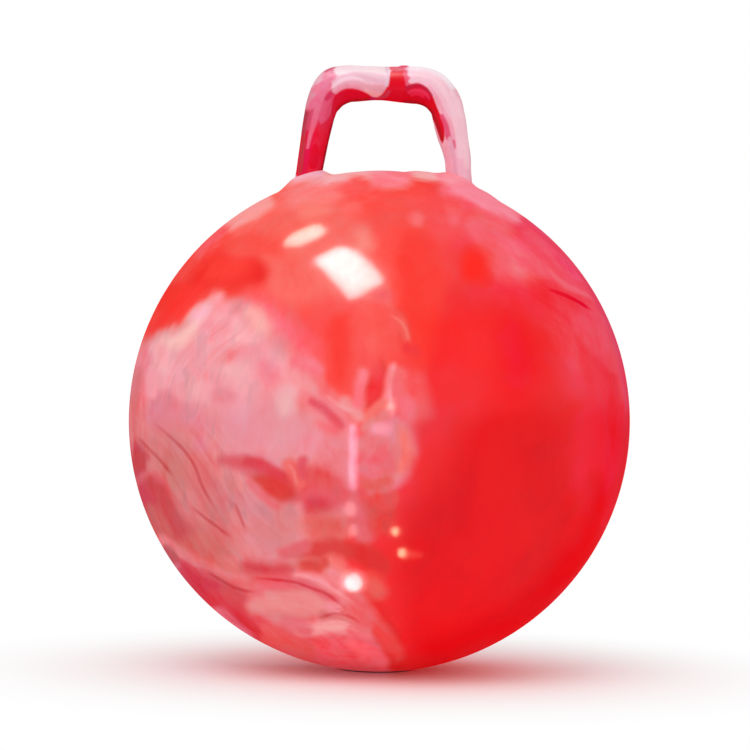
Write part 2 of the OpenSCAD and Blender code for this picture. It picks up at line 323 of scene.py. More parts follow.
# Each stroke: the width of its soft edge, its (white, tint, dark, mottling), and its path, in pixels
skin_strokes = [
    # the warm upper part: orange vinyl, its white share partly a painted sheen of the broad gloss on top
    (60, (0.14, -0.81, 0.05, 0), [(120, 345), (150, 250), (230, 170), (330, 150), (430, 160), (470, 230),
     (440, 300), (420, 340), (400, 400), (350, 440), (300, 400), (200, 350)]),
    (36, (0.28, -0.81, 0.12, 0), [(262, 212), (330, 195), (356, 205), (366, 240), (392, 300), (378, 330),
     (330, 318), (300, 308), (270, 300), (250, 258)]),
    (40, (0.23, -1, 0.12, 0), [(245, 225), (300, 205), (318, 222), (330, 250), (300, 262), (250, 258)]),
    (22, (-0.01, -1, 0.25, 0), [(180, 292), (200, 258), (232, 252), (262, 258), (268, 282), (240, 288),
     (205, 290)]),
    (26, (0.08, -1, 0.09, 0), [(196, 282), (204, 258), (224, 246), (250, 250), (256, 268), (240, 282),
     (216, 288)]),
    (21, (0.07, -0.63, 0, 0), [(152, 322), (172, 288), (196, 278), (204, 292), (186, 312), (166, 324),
     (152, 330)]),
    (9, (0.06, -1, 0.08, 0), [(158, 306, 2), (166, 296, 4), (176, 288, 3)]),
    (12, (0.16, -1, 0.11, 0), [(232, 245, 3), (252, 243, 5), (274, 246, 3)]),
    # painted reflection: a pale band along the upper left outline, the white room mirrored at the grazing
    # edge, faded inwards by the next two strokes
    (8, (0.26, 0.15, 0, 0), [(199, 252, 0.5), (214, 236, 1.5), (236, 217, 2.5), (262, 198, 3.5),
     (284, 184, 4.5), (296, 177, 6)]),
    (16, (0.29, -0.79, 0.04, 0), [(236, 226, 1), (262, 207, 3), (284, 195, 5), (298, 190, 5)]),
    (9, (0.62, -0.35, 0.05, 0), [(232, 224, 1), (248, 213, 3.5), (266, 202, 3)]),
    # painted reflection: a white band along the crest of the left collar
    (14, (1.05, 0.65, 0.17, 0), [(292, 176, 2), (302, 175, 6), (314, 176, 8), (326, 178, 7), (338, 180, 3)]),
    (14, (0.39, -0.38, 0.03, 0), [(296, 196, 4), (308, 192, 6), (326, 192, 6), (338, 190, 3)]),
    (18, (0.39, -0.97, 0.08, 0), [(296, 205), (326, 200), (330, 214), (300, 220)]),
    # painted reflection: a white line along the top of the outline
    (10, (0.87, -0.11, 0.09, 0), [(330, 174, 3), (352, 172, 3), (378, 171, 3), (410, 171, 3), (436, 173, 3)]),
    (16, (0.26, -0.53, 0.02, 0), [(340, 203), (358, 201), (362, 216), (344, 220)]),
    (16, (0.21, -0.34, 0.01, 0), [(340, 182), (372, 180), (378, 194), (360, 200), (342, 198)]),
    (18, (0.27, -0.84, 0.07, 0), [(280, 284), (306, 284), (308, 298), (282, 299)]),
    (18, (0.43, -1, 0.12, 0), [(350, 228), (368, 228), (374, 250), (358, 246)]),
    (16, (0.28, 0.27, 0.09, 0), [(374, 287), (390, 287), (392, 302), (376, 300)]),
    (12, (0.44, 0.26, 0, 0), [(376, 178, 2), (390, 178, 5), (404, 178, 3)]),
    (10, (0.33, -0.08, 0, 0), [(406, 214), (416, 210), (424, 216), (421, 225), (410, 224)]),
    (18, (0.18, -0.2, 0, 0), [(405, 196), (428, 196), (430, 208), (408, 208)]),
    (20, (0.08, -1, 0.09, 0), [(392, 230), (436, 232), (444, 300), (436, 360), (412, 372), (402, 320)]),
    # the right shoulder
    (60, (0.1, 0.26, 0, 0), [(440, 200), (520, 220), (560, 250), (590, 290), (620, 350), (640, 420),
     (636, 480), (610, 480), (590, 430), (560, 380), (540, 330), (480, 290), (440, 250)]),
    (30, (0.26, 0.04, 0, 0.1), [(462, 205), (500, 208), (528, 232), (545, 258), (538, 280), (512, 284),
     (498, 266), (478, 246), (462, 230)]),
    (26, (0.18, -0.06, 0, 0), [(428, 188), (456, 190), (466, 214), (460, 240), (436, 238), (424, 214)]),
    (21, (0.25, 1, 0, 0.1), [(504, 240), (524, 238), (544, 254), (538, 268), (520, 262)]),
    (18, (0.13, 0.46, 0, 0.2), [(512, 214, 3), (528, 222, 7), (546, 238, 8), (566, 260, 9), (586, 288, 9),
     (602, 318, 9), (614, 350, 8)]),
    (13, (0.18, 0.63, 0, 0.2), [(540, 236), (556, 244), (562, 256), (548, 258), (536, 250)]),
    (8, (0.19, 0.84, 0.01, 0.1), [(564, 262, 2), (573, 268, 4), (578, 276, 2)]),
    (9, (0.2, 0.44, 0, 0.1), [(526, 236, 2), (540, 250, 4), (552, 268, 3)]),
    (9, (0.27, 0.32, 0, 0.1), [(496, 236, 2), (512, 250, 4), (530, 262, 3)]),
    (10, (0.23, 0.15, 0, 0.1), [(478, 232, 3), (492, 248, 4), (502, 262, 3)]),
    (13, (0.18, 0.4, 0, 0.2), [(546, 262), (562, 264), (572, 280), (560, 284), (548, 276)]),
    (16, (0.29, 0.09, 0, 0.1), [(508, 266), (524, 264), (530, 276), (524, 286), (510, 280)]),
    (8, (0.23, 0.35, 0, 0.1), [(522, 262, 2), (536, 268, 3), (548, 274, 2)]),
    (8, (0.2, 0.39, 0, 0), [(546, 266, 1), (556, 279, 3), (566, 286, 4), (580, 292, 3.5), (593, 299, 2)]),
    (9, (0.12, 0.27, 0, 0), [(548, 288, 2), (562, 294, 4), (576, 300, 4), (590, 308, 2)]),
    (18, (0.22, 0.41, 0, 0.1), [(566, 312), (590, 312), (606, 334), (614, 356), (600, 356), (578, 334)]),
    (10, (0.2, 0.34, 0, 0.1), [(596, 330, 2), (608, 346, 4), (616, 364, 3)]),
    (12, (0.12, 0.22, 0, 0.1), [(556, 322, 3), (566, 340, 5), (580, 362, 4)]),
    (8, (0.19, 0.38, 0, 0.1), [(592, 306, 2), (602, 322, 4), (609, 340, 3)]),
    # painted reflection: a pale line along the right outline
    (10, (0.16, 0.2, 0.01, 0), [(612, 332, 1), (619, 350, 3), (624, 372, 3), (626, 396, 2)]),
    # painted shade: a thin dark magenta line along the right outline
    (6, (0.17, 0.67, 0.12, 0), [(524, 216, 1), (548, 235, 1), (572, 260, 1), (592, 288, 1), (608, 320, 1),
     (620, 352, 1), (628, 400, 1), (628, 460, 1)]),
    # painted highlight: a pale band inside the outline over the right collar
    (16, (0.31, 0.32, 0, 0), [(450, 186, 3), (470, 192, 5), (490, 204, 6), (506, 214, 4)]),
    # painted highlight: the whiter edge of that band, along the outline itself
    (9, (0.48, 0.46, 0, 0), [(444, 174, 4), (458, 177, 5), (471, 184, 4.5), (486, 194, 4), (500, 204, 3.5),
     (514, 214, 1)]),
    # painted highlight: a pale pink spot on the right collar's top
    (9, (0.58, 0.24, 0, 0), [(447, 175, 3), (458, 176, 4), (468, 178, 3)]),
    (9, (0.23, 0.3, 0, 0), [(463, 190, 2), (466, 198, 4), (466, 208, 2)]),
    # painted highlight: part of the pale band over the right collar
    (9, (0.48, 0.44, 0, 0), [(458, 186, 2), (469, 191, 4), (482, 199, 3)]),
    (9, (0.25, 0.07, 0, 0), [(450, 202, 2), (454, 210, 4), (456, 216, 2)]),
    (21, (0, -0.93, 0, 0), [(462, 250), (486, 250), (492, 272), (478, 284), (460, 276)]),
    (23, (0.05, 0.18, 0, 0), [(498, 276), (548, 286), (560, 306), (520, 310), (490, 296)]),
    (18, (0.08, -1, 0.35, 0), [(384, 310), (396, 310), (404, 320), (408, 334), (400, 340), (392, 332),
     (384, 324)]),
    (26, (1.05, 1, 0.03, 0), [(350, 300), (380, 302), (392, 320), (384, 334), (362, 330), (350, 316)]),
    (7, (0.27, -1, 0.16, 0), [(386, 313, 2), (394, 318, 4), (401, 326, 2.5), (406, 336, 1)]),
    (8, (0.1, -0.09, 0.1, 0), [(406, 347, 1), (411, 349, 2), (416, 351, 1)]),
    # the red body; its added dark share, which grows towards the lower right, is painted shade
    (60, (-0.01, -0.25, 0.19, 0), [(440, 470), (470, 420), (520, 400), (600, 430), (640, 480), (600, 580),
     (520, 640), (420, 680), (395, 600), (400, 540), (430, 500)]),
    (40, (0.03, 0.16, 0, 0), [(560, 420), (600, 400), (640, 420), (640, 500), (600, 540), (570, 500)]),
    (26, (0.02, 0.01, 0.13, 0), [(590, 470), (612, 480), (600, 530), (575, 560), (560, 540), (580, 510)]),
    # painted shade: a darker band along the lower right outline
    (14, (0.06, 0.08, 0.16, 0), [(634, 420, 2), (628, 480, 3), (606, 545, 4), (570, 598, 4), (520, 642, 4),
     (460, 668, 3)]),
    (50, (-0.01, -0.18, 0.23, 0), [(420, 500), (470, 480), (480, 560), (430, 600), (405, 560)]),
    (40, (0, -0.24, 0.23, 0), [(500, 560), (560, 540), (560, 600), (510, 630), (480, 600)]),
    (50, (0.04, -0.08, 0, 0), [(440, 300), (520, 310), (560, 350), (540, 400), (460, 410), (425, 380)]),
    (40, (0.07, 0.06, 0.04, 0), [(436, 376), (462, 366), (486, 378), (480, 398), (452, 404), (436, 396)]),
    (50, (0.01, 0.17, 0.01, 0), [(500, 310), (530, 320), (540, 370), (520, 400), (500, 370)]),
    (40, (0.05, -0.15, 0, 0), [(450, 330), (480, 320), (500, 350), (480, 372), (450, 360)]),
    # the pale field
    (12, (0.58, 0.02, 0.19, 1), [(118, 360), (140, 343), (152, 335), (164, 329), (180, 323), (188, 315),
     (200, 304), (216, 295.5), (236, 297), (256, 302), (270, 312), (286, 330), (303, 345), (316, 362),
     (324, 380), (334, 398), (352, 420), (350, 500), (345, 530), (330, 556), (300, 575), (240, 580),
     (190, 580), (160, 562), (130, 510), (110, 460), (110, 400)]),
    (30, (0.27, 0.24, 0, 0.5), [(240, 290), (270, 296), (300, 322), (322, 350), (328, 378), (312, 372),
     (292, 350), (272, 330), (250, 310)]),
    (30, (0.67, 0.12, 0.11, 1), [(150, 345), (200, 330), (260, 340), (300, 365), (310, 400), (250, 410),
     (190, 405), (150, 395)]),
    (40, (0.72, 0.35, 0.27, 1), [(215, 405), (280, 392), (315, 415), (318, 450), (280, 458), (220, 450)]),
    (22, (1.05, -0.6, 0.03, 0.7), [(156, 340), (182, 328), (192, 316), (206, 306), (222, 303), (214, 320),
     (192, 336), (165, 350)]),
    (16, (0.78, 0.48, 0, 0.5), [(190, 314), (204, 306), (216, 308), (210, 320), (194, 322)]),
    (10, (0.58, 0.12, 0, 0.5), [(218, 300, 3), (222, 307, 4)]),
    (16, (0.75, -0.46, 0.06, 0.5), [(244, 306), (262, 308), (268, 330), (254, 334), (246, 320)]),
    (10, (0.68, 0.08, 0.04, 1), [(216, 318, 3), (226, 319, 4), (234, 321, 2)]),
    (18, (0.79, 0, 0.04, 0.8), [(228, 328), (252, 326), (262, 344), (248, 354), (230, 348)]),
    (10, (0.61, 0.21, 0.08, 1), [(205, 331, 3), (214, 327, 4), (224, 329, 3)]),
    (9, (0.64, 0.11, 0.06, 1), [(208, 338, 2), (207, 348, 3.5), (206, 358, 2)]),
    (9, (0.66, 0.1, 0.08, 1), [(222, 333, 2), (224, 341, 3.5), (220, 346, 2)]),
    (9, (0.64, 0.02, 0.12, 1), [(213, 358, 2), (219, 350, 3), (222, 358, 3)]),
    (9, (0.57, 0.14, 0.1, 1), [(226, 353, 2), (238, 353, 3.5), (252, 350, 3), (262, 347, 2)]),
    (18, (0.47, 0.34, 0.12, 1), [(256, 358), (272, 356), (282, 372), (276, 388), (262, 384)]),
    (9, (0.58, 0.1, 0.11, 1), [(204, 378, 2), (214, 382, 3), (226, 379, 2)]),
    (9, (0.69, 0.11, 0.13, 1), [(228, 386, 2), (236, 389, 3), (242, 386, 2)]),
    (9, (0.59, 0.22, 0.21, 1), [(214, 396, 2), (224, 394, 3), (232, 396, 2)]),
    (21, (0.85, -0.08, 0.11, 0.8), [(222, 364), (244, 362), (250, 374), (236, 380), (224, 374)]),
    (21, (0.82, -0.05, 0.14, 0.8), [(183, 380), (200, 378), (204, 398), (190, 404), (182, 394)]),
    (18, (1.04, 0.1, 0.24, 0.8), [(284, 386), (296, 390), (292, 412), (280, 416), (276, 400)]),
    (23, (0.57, 0.38, 0.28, 1), [(146, 400), (180, 396), (200, 412), (212, 430), (190, 436), (160, 424)]),
    (10, (0.57, 0.44, 0.28, 1), [(156, 398, 2), (154, 408, 3), (151, 418, 3), (158, 428, 2)]),
    (10, (0.65, 0.09, 0.14, 1), [(176, 382, 2), (180, 388, 3), (178, 396, 2)]),
    (12, (0.55, 0.32, 0.25, 1), [(164, 398, 3), (172, 408, 5), (170, 418, 3)]),
    (10, (0.49, 0.17, 0.1, 1), [(146, 352, 2), (142, 366, 4), (141, 384, 4), (139, 398, 3)]),
    (7, (0.66, 0.2, 0.05, 0.3), [(151, 370, 1), (150, 382, 2.5), (149, 394, 1.5)]),
    # painted shade: a darker band along the left outline
    (8, (0.51, 0.05, 0.26, 0.5), [(134, 372, 2), (131, 390, 3), (130, 410, 3), (130, 432, 3)]),
    (10, (0.74, 0.01, 0.04, 1), [(158, 348, 2), (164, 356, 4), (162, 366, 3)]),
    (10, (0.4, 0.35, 0.09, 0.3), [(298, 362, 2), (308, 367, 4), (316, 370, 3)]),
    # lower left
    (40, (0.51, -0.17, 0.34, 0.8), [(130, 430), (175, 425), (205, 450), (225, 480), (240, 520), (250, 555),
     (215, 570), (165, 550), (140, 495)]),
    (20, (0.6, -0.58, 0.48, 0.8), [(160, 450), (182, 456), (188, 486), (172, 492), (160, 474)]),
    (24, (0.45, -0.65, 0.43, 0.8), [(176, 524), (206, 526), (232, 548), (222, 562), (192, 554), (172, 540)]),
    (23, (0.69, 0.06, 0.43, 0.8), [(164, 432), (182, 436), (192, 450), (184, 456), (168, 446)]),
    (16, (0.64, 0.59, 0.31, 0.8), [(194, 436), (204, 440), (206, 452), (196, 452)]),
    (23, (0.58, -0.18, 0.37, 0.8), [(196, 488), (214, 492), (222, 512), (208, 512)]),
    (24, (0.45, -0.32, 0.27, 1), [(212, 466), (240, 474), (250, 500), (238, 512), (220, 494)]),
    (10, (0.56, 0, 0.36, 1), [(212, 480, 2), (218, 485, 3), (222, 490, 2)]),
    (14, (0.55, 0.01, 0.36, 1), [(222, 500, 3), (232, 502, 4), (242, 500, 3)]),
    (26, (0.63, 0.09, 0.36, 0.7), [(238, 500), (262, 494), (288, 506), (300, 530), (290, 556), (262, 562),
     (244, 540)]),
    (12, (0.6, -0.09, 0.36, 0.7), [(283, 510, 3), (285, 520, 4), (284, 536, 3)]),
    # painted shade: darker patches at the left outline, here and in the next stroke
    (16, (0.16, 0.44, 0.52, 0.3), [(133, 440), (142, 446), (144, 470), (138, 482), (130, 465)]),
    (8, (0.23, -0.02, 0.48, 0.2), [(135, 468, 2), (138, 460, 4), (141, 454, 2)]),
    (16, (0.39, 0.87, 0.04, 0.3), [(140, 478), (152, 474), (166, 484), (172, 500), (160, 508), (148, 500)]),
    (14, (0.3, -0.05, 0.47, 0.3), [(149, 482, 1), (157, 493, 4), (165, 504, 6), (173, 516, 6),
     (180, 528, 3)]),
    (12, (0.22, 0.35, 0.45, 0), [(140, 490, 2), (146, 504, 4), (153, 518, 2)]),
    (12, (0.39, -0.42, 0.46, 0.5), [(152, 512, 2), (160, 528, 4), (168, 540, 3)]),
    (20, (0.3, -0.92, 0.36, 0.6), [(186, 556), (222, 560), (252, 574), (250, 590), (214, 586), (190, 572)]),
    (10, (0.5, 0, 0.23, 0.6), [(160, 540, 1), (176, 554, 2), (196, 565, 3), (218, 574, 3), (240, 580, 2)]),
    (18, (0.17, 0.09, 0.43, 0.6), [(238, 558), (270, 564), (290, 562), (296, 574), (262, 580), (242, 572)]),
    (10, (0.39, -0.15, 0.27, 0.5), [(205, 570, 1), (220, 580, 2), (240, 588, 2.5), (256, 590, 1)]),
    # painted shade: a magenta band along the lower left outline, with a thin dark line in the next stroke
    (10, (0.46, 0.01, 0.28, 0), [(166, 548, 1), (178, 562, 4), (192, 580, 5), (206, 596, 3)]),
    (6, (0.41, 0.04, 0.58, 0), [(165, 550, 1), (173, 561, 2.5), (182, 573, 2.5), (190, 583, 1)]),
    (6, (1.05, 1, 0.35, 0), [(176, 571, 1), (186, 583, 2.5), (196, 594, 2)]),
    (16, (0.19, 0.4, 0.45, 0.3), [(184, 572, 3), (204, 588, 7), (226, 604, 9), (248, 620, 9), (266, 636, 6)]),
    (9, (0.18, 0.24, 0.37, 0.3), [(212, 596, 3), (226, 602, 4), (240, 612, 3)]),
    (10, (0.14, 0.18, 0.36, 0.3), [(238, 596, 2), (246, 608, 5), (252, 622, 5), (258, 638, 3)]),
    (9, (0.46, 0.66, 0.27, 0.1), [(216, 612, 1), (234, 630, 3), (254, 646, 3), (276, 656, 1)]),
    (10, (0.26, 0.01, 0.38, 0.3), [(226, 592, 3), (242, 598, 4), (252, 606, 3)]),
    # the middle column and what stands beside it
    (20, (0.54, 0.23, 0.21, 1), [(320, 428), (345, 420), (352, 440), (352, 500), (345, 540), (320, 548),
     (305, 520), (312, 480), (322, 450)]),
    (18, (0.49, 0.38, 0.21, 1), [(360, 424), (385, 410), (404, 416), (416, 432), (416, 452), (408, 474),
     (392, 494), (376, 502), (362, 500)]),
    (20, (0.19, -1, 0.34, 0.8), [(358, 500), (376, 500), (384, 514), (378, 532), (362, 536), (354, 520)]),
    (16, (0.08, -0.83, 0.25, 0.8), [(374, 506), (392, 504), (398, 516), (388, 530), (374, 530)]),
    # painted reflection: a pale glow about the lower end of the mirrored post
    (12, (0.35, 0.15, 0.25, 0.4), [(348, 492, 3), (356, 508, 5), (360, 526, 4), (364, 538, 3)]),
    (10, (0.07, -1, 0.43, 0.2), [(368, 358), (382, 356), (386, 376), (380, 398), (370, 408), (363, 400),
     (364, 378)]),
    (8, (0.12, 0.12, 0.09, 0.2), [(368, 362, 2), (376, 368, 4), (378, 382, 4), (372, 396, 3)]),
    (7, (0.44, 0.18, 0.01, 0.4), [(393, 368, 0.5), (391, 378, 2), (390, 390, 3.5), (390, 402, 5),
     (390, 410, 3)]),
    (10, (0.31, -0.07, 0.08, 0.4), [(398, 376, 3), (400, 388, 4), (402, 400, 3)]),
    (6, (0.3, 0.07, 0.09, 0.2), [(393, 382, 1.5), (394, 389, 2.5), (396, 395, 1)]),
    (21, (0.21, -0.02, 0.04, 0.5), [(402, 366), (426, 372), (432, 410), (418, 424), (404, 410)]),
    (9, (0.3, 0.19, 0.08, 0.4), [(404, 402, 3), (408, 408, 4), (410, 416, 2)]),
    (6, (0.35, -0.61, 0.13, 0.2), [(383, 402, 1.5), (377, 409, 2.5), (369, 416, 2), (364, 424, 1)]),
    (6, (0.49, -0.11, 0.23, 0.2), [(363, 428, 1), (374, 422, 2), (385, 414, 1.5)]),
    (13, (0.61, 0.52, 0.07, 0.3), [(370, 426), (386, 420), (392, 430), (384, 438), (372, 436)]),
    (14, (0.38, -0.61, 0.11, 0.5), [(396, 424), (408, 426), (414, 442), (408, 466), (396, 480), (390, 472),
     (400, 450)]),
    (10, (0.41, 0.09, 0.2, 0.8), [(362, 446, 4), (378, 444, 3), (392, 450, 3)]),
    (9, (0.27, 0.19, 0.15, 0.8), [(372, 462, 2), (379, 466, 4), (386, 470, 2)]),
    (9, (0.26, -0.64, 0.26, 0.8), [(366, 482, 3), (376, 486, 3), (386, 482, 2)]),
    (9, (0.3, 0.17, 0.16, 0.8), [(380, 452, 2), (386, 458, 4), (390, 468, 2)]),
    (9, (0.36, 0.29, 0.19, 0.8), [(364, 468, 3), (372, 474, 3)]),
    (10, (0.16, -0.58, 0.21, 0.8), [(376, 500, 2), (384, 502, 4), (392, 500, 2)]),
    # the red tongue and the pale hook under it
    (22, (0.17, -0.43, 0.07, 0), [(318, 296), (350, 292), (390, 300), (402, 330), (390, 355), (370, 372),
     (356, 385), (344, 394), (334, 388), (328, 372), (318, 350), (304, 326)]),
    (18, (0.08, -1, 0.12, 0), [(330, 312), (350, 312), (352, 350), (346, 384), (334, 386), (328, 350)]),
    (21, (0.22, -0.57, 0.07, 0), [(354, 300), (382, 304), (392, 330), (384, 350), (362, 352), (354, 330)]),
    (18, (0.23, 0.17, 0.03, 0), [(296, 318), (312, 326), (324, 348), (318, 356), (302, 342)]),
    (9, (0.36, 0.07, 0.09, 0.3), [(321, 382, 1), (328, 395, 3), (337, 403, 4), (350, 407, 5), (360, 405, 3)]),
    (8, (0.6, -0.02, 0.15, 0.3), [(346, 402, 3), (354, 408, 4), (358, 414, 3)]),
    (9, (0.39, 0.31, 0.03, 0.2), [(362, 374, 1), (360, 386, 3), (359, 398, 3)]),
    (10, (0.45, 0.18, 0.13, 0.4), [(302, 396, 2), (312, 402, 4), (326, 410, 5), (338, 418, 5),
     (346, 426, 3)]),
    (6, (0.22, 0.29, 0.26, 0.3), [(310, 399, 1), (322, 408, 2.5), (332, 418, 3), (341, 427, 1.5)]),
    (16, (0.3, 0.16, 0.09, 0.6), [(312, 418), (330, 424), (345, 430), (340, 442), (322, 434)]),
    (13, (0.61, 0.38, 0.2, 0.6), [(300, 436), (318, 430), (322, 444), (310, 456), (298, 452)]),
    # the red wedge, the pale notch and the arc below
    (10, (0.58, 0.47, 0.28, 0.3), [(220, 455), (245, 455), (275, 458), (300, 462), (302, 474), (270, 472),
     (240, 470)]),
    (10, (0.32, 0.08, 0.33, 0.2), [(222, 459, 0.5), (238, 463, 2), (254, 469, 5), (270, 478, 9),
     (284, 487, 10), (293, 492, 7)]),
    (10, (0.12, -0.97, 0.39, 0.2), [(262, 480, 3), (274, 484, 5), (284, 490, 4)]),
    (7, (0.37, 0.11, 0.26, 0.2), [(250, 482, 1), (258, 490, 2.5), (266, 499, 2.5), (276, 505, 1)]),
    (7, (0.16, 0.18, 0.33, 0.2), [(246, 464, 1), (262, 466, 2.5), (280, 472, 3), (292, 478, 2)]),
    (18, (0.25, 0.12, 0.23, 0.8), [(299, 466), (322, 464), (346, 474), (346, 500), (330, 515), (306, 514),
     (296, 496)]),
    (13, (0.12, 0.21, 0.31, 0.6), [(302, 500), (322, 498), (330, 508), (320, 516), (304, 514)]),
    (10, (0.28, 0.01, 0.27, 0.6), [(306, 474, 2), (318, 476, 4), (330, 480, 3)]),
    (7, (0.32, -0.42, 0.2, 0.2), [(286, 462, 1.5), (292, 467, 3), (295, 476, 2.5), (298, 486, 1)]),
    (7, (0.28, 0.4, 0.3, 0.2), [(301, 460, 1.5), (299, 467, 2), (300, 474, 1)]),
    (23, (0.3, -0.77, 0.31, 0.8), [(300, 516), (330, 514), (346, 520), (346, 542), (322, 544), (306, 536)]),
    (10, (0.14, -0.79, 0.39, 0.2), [(300, 549, 1), (312, 547, 3), (326, 549, 5), (344, 550, 5), (356, 552, 3),
     (366, 556, 1)]),
    (9, (0.33, 0.1, 0.3, 0.5), [(284, 552, 2), (294, 549, 4), (304, 544, 3)]),
    (12, (0.07, -0.64, 0.35, 0.2), [(362, 552, 3), (372, 560, 5), (380, 568, 3)]),
    (16, (0.16, -1, 0.42, 0.5), [(298, 556), (326, 556), (338, 562), (330, 576), (308, 573), (296, 566)]),
    # painted reflection: a pinkish glow beside the low lamp's highlight
    (10, (0.38, -0.47, 0.14, 0.3), [(328, 560, 2), (336, 566, 5), (340, 574, 4)]),
    (6, (0.19, -1, 0.37, 0.3), [(323, 558, 1), (324, 566, 1.5), (326, 574, 1)]),
    # the streaked bottom
    (23, (0.33, 0.19, 0.22, 0.5), [(262, 576), (300, 572), (345, 585), (368, 592), (384, 625), (398, 655),
     (400, 680), (330, 680), (270, 660), (256, 620), (250, 594)]),
    (14, (0.71, -0.2, 0.35, 0.4), [(262, 592), (290, 589), (318, 592), (332, 602), (326, 612), (300, 618),
     (286, 617), (278, 626), (268, 616)]),
    (12, (0.64, -0.25, 0.25, 0.4), [(258, 604, 3), (272, 602, 4), (300, 602, 6), (318, 604, 4)]),
    (9, (0.54, 0.12, 0.13, 0.3), [(298, 576, 1), (314, 579, 3), (330, 585, 4), (344, 594, 4), (354, 604, 2),
     (360, 612, 1)]),
    (9, (0.54, 0.15, 0.17, 0.3), [(330, 572, 2), (338, 580, 4), (348, 590, 3)]),
    (6, (0.37, 0.2, 0.3, 0.3), [(284, 580, 1), (304, 585, 2), (322, 591, 2), (336, 600, 2), (346, 606, 1)]),
    (9, (0.79, -0.09, 0.17, 0.3), [(302, 628, 2), (318, 628, 3.5), (338, 626, 3.5), (352, 626, 2)]),
    (8, (0.48, 0.23, 0.26, 0.3), [(284, 621, 2), (294, 624, 3), (306, 629, 2)]),
    (8, (0.39, 0.17, 0.16, 0.3), [(352, 632, 1.5), (360, 634, 3), (367, 635, 1.5)]),
    (7, (0.51, -0.22, 0.4, 0.3), [(322, 616, 1.5), (338, 612, 3), (350, 616, 3), (360, 622, 1.5)]),
    (10, (0.61, 0.2, 0.2, 0.3), [(330, 606, 2), (346, 608, 3), (358, 614, 3)]),
    (16, (0.27, -0.51, 0.23, 0.2), [(262, 626), (276, 632), (300, 640), (318, 652), (300, 656), (276, 646),
     (264, 638)]),
    (7, (0.28, -0.18, 0.21, 0.1), [(264, 628, 2), (267, 636, 3), (272, 644, 2)]),
    (16, (0.29, 0.21, 0.1, 0.4), [(310, 636), (350, 640), (384, 650), (388, 664), (350, 666), (320, 658)]),
    (9, (0.31, 0.17, 0.02, 0.3), [(352, 646, 1.5), (366, 652, 3), (382, 662, 2)]),
    (12, (0.04, -0.52, 0.23, 0.2), [(360, 590, 3), (372, 606, 4), (384, 628, 5), (394, 648, 4),
     (398, 662, 2)]),
    (9, (0.16, -0.4, 0.16, 0.2), [(372, 612, 1), (381, 630, 3), (391, 646, 3.5), (398, 656, 1)]),
    (8, (0.43, -0.02, 0.22, 0.2), [(346, 608, 1), (356, 618, 3), (366, 628, 2)]),
    (10, (0.33, 0.03, 0.21, 0.3), [(352, 592, 3), (360, 602, 5), (368, 618, 3)]),
    (18, (0.25, -0.99, 0.26, 0.2), [(366, 574), (382, 580), (388, 594), (374, 598), (364, 588)]),
]

points, facing = mesh_points(skin)
# The marbling of the crown runs on into the dimple, over the wall that looks away from the camera.
in_dimple = (np.hypot(points[:, 0], points[:, 1]) < dimple_mouth_r + 4) & (points[:, 2] > ball_z)
facing = np.where(in_dimple, np.maximum(facing, 0.1), facing)

# On the back, broad swirls of white drawn out aslant, with darker mist in them: whiter and warmer towards
# # the crown, and a little darker towards the bottom.
unit = (points - centre) / ball_r
drawn = points @ np.array([[0.8, 0.0, 0.9], [0.2, 1.0, 0.0], [-0.4, 0.0, 1.8]])
folds = np.stack([wander(points, 150, 11), wander(points, 140, 12), wander(points, 160, 13)], -1)
swirl = wander(drawn + 26 * folds, 240, 14) - 0.7 * unit[:, 0] + 0.25 * wander(drawn, 80, 18)
mist = wander(drawn + 18 * wander(points, 90, 15)[:, None], 110, 16)
skin_back = np.stack([
    0.03 + 0.5 * step(0.0, 1.0, swirl) + 0.16 * step(-0.4, 1.2, mist) + 0.1 * step(0.2, 0.9, unit[:, 2]),
    np.clip(0.1 - 0.6 * unit[:, 2] + 0.5 * wander(points, 170, 17), -1, 1),
    0.14 * step(0.2, 1.4, mist) * step(0.0, 0.6, swirl) + 0.06 * step(0.3, -0.6, unit[:, 2]),
    step(0.1, 0.7, swirl)], -1)
skin_ground = (0.07, 0.03, 0.11, 0.0)
store(skin, "marble", marble(points, facing, skin_strokes, skin_ground, skin_back, warp=1.2, drift=26))


def beside(u, v, paths, reach):
    """For the nearest of some lines: the signed distance in pixels, with the side of the line as its
    sign so that a thin line stays sharp between the mesh's points, the distance along the line, and how
    near it is. That fades out at the reach, towards the line's ends, and where two lines lie equally
    far away, so that nothing shows where one takes over from the other."""
    lines = []
    for path in paths:
        path = cut_corners(path, False)
        run = np.concatenate([[0], np.cumsum(np.linalg.norm(np.diff(path, axis=0), axis=1))])
        line = np.full((4,) + u.shape, 1e9)
        for a, b, start in zip(path, path[1:], run):
            side = b - a
            length = np.linalg.norm(side)
            t = np.clip(((u - a[0]) * side[0] + (v - a[1]) * side[1]) / length ** 2, 0, 1)
            x, y = u - a[0] - t * side[0], v - a[1] - t * side[1]
            d, at = np.hypot(x, y), start + t * length
            sided = np.where(side[0] * y > side[1] * x, d, -d)
            inner = np.clip(5 * np.minimum(at, run[-1] - at) / run[-1], 0, 1)
            line = np.where(d < line[0], [d, sided, at, inner], line)
        lines.append(line)
    lines = np.array(lines)
    best, signed, along, ends = np.take_along_axis(lines, lines[:, 0].argmin(0)[None, None], 0)[0]
    second = np.partition(lines[:, 0], 1, 0)[1]
    return signed, along, ends * step(reach, 0.6 * reach, best) * step(0, 0.3 * reach, second - best)


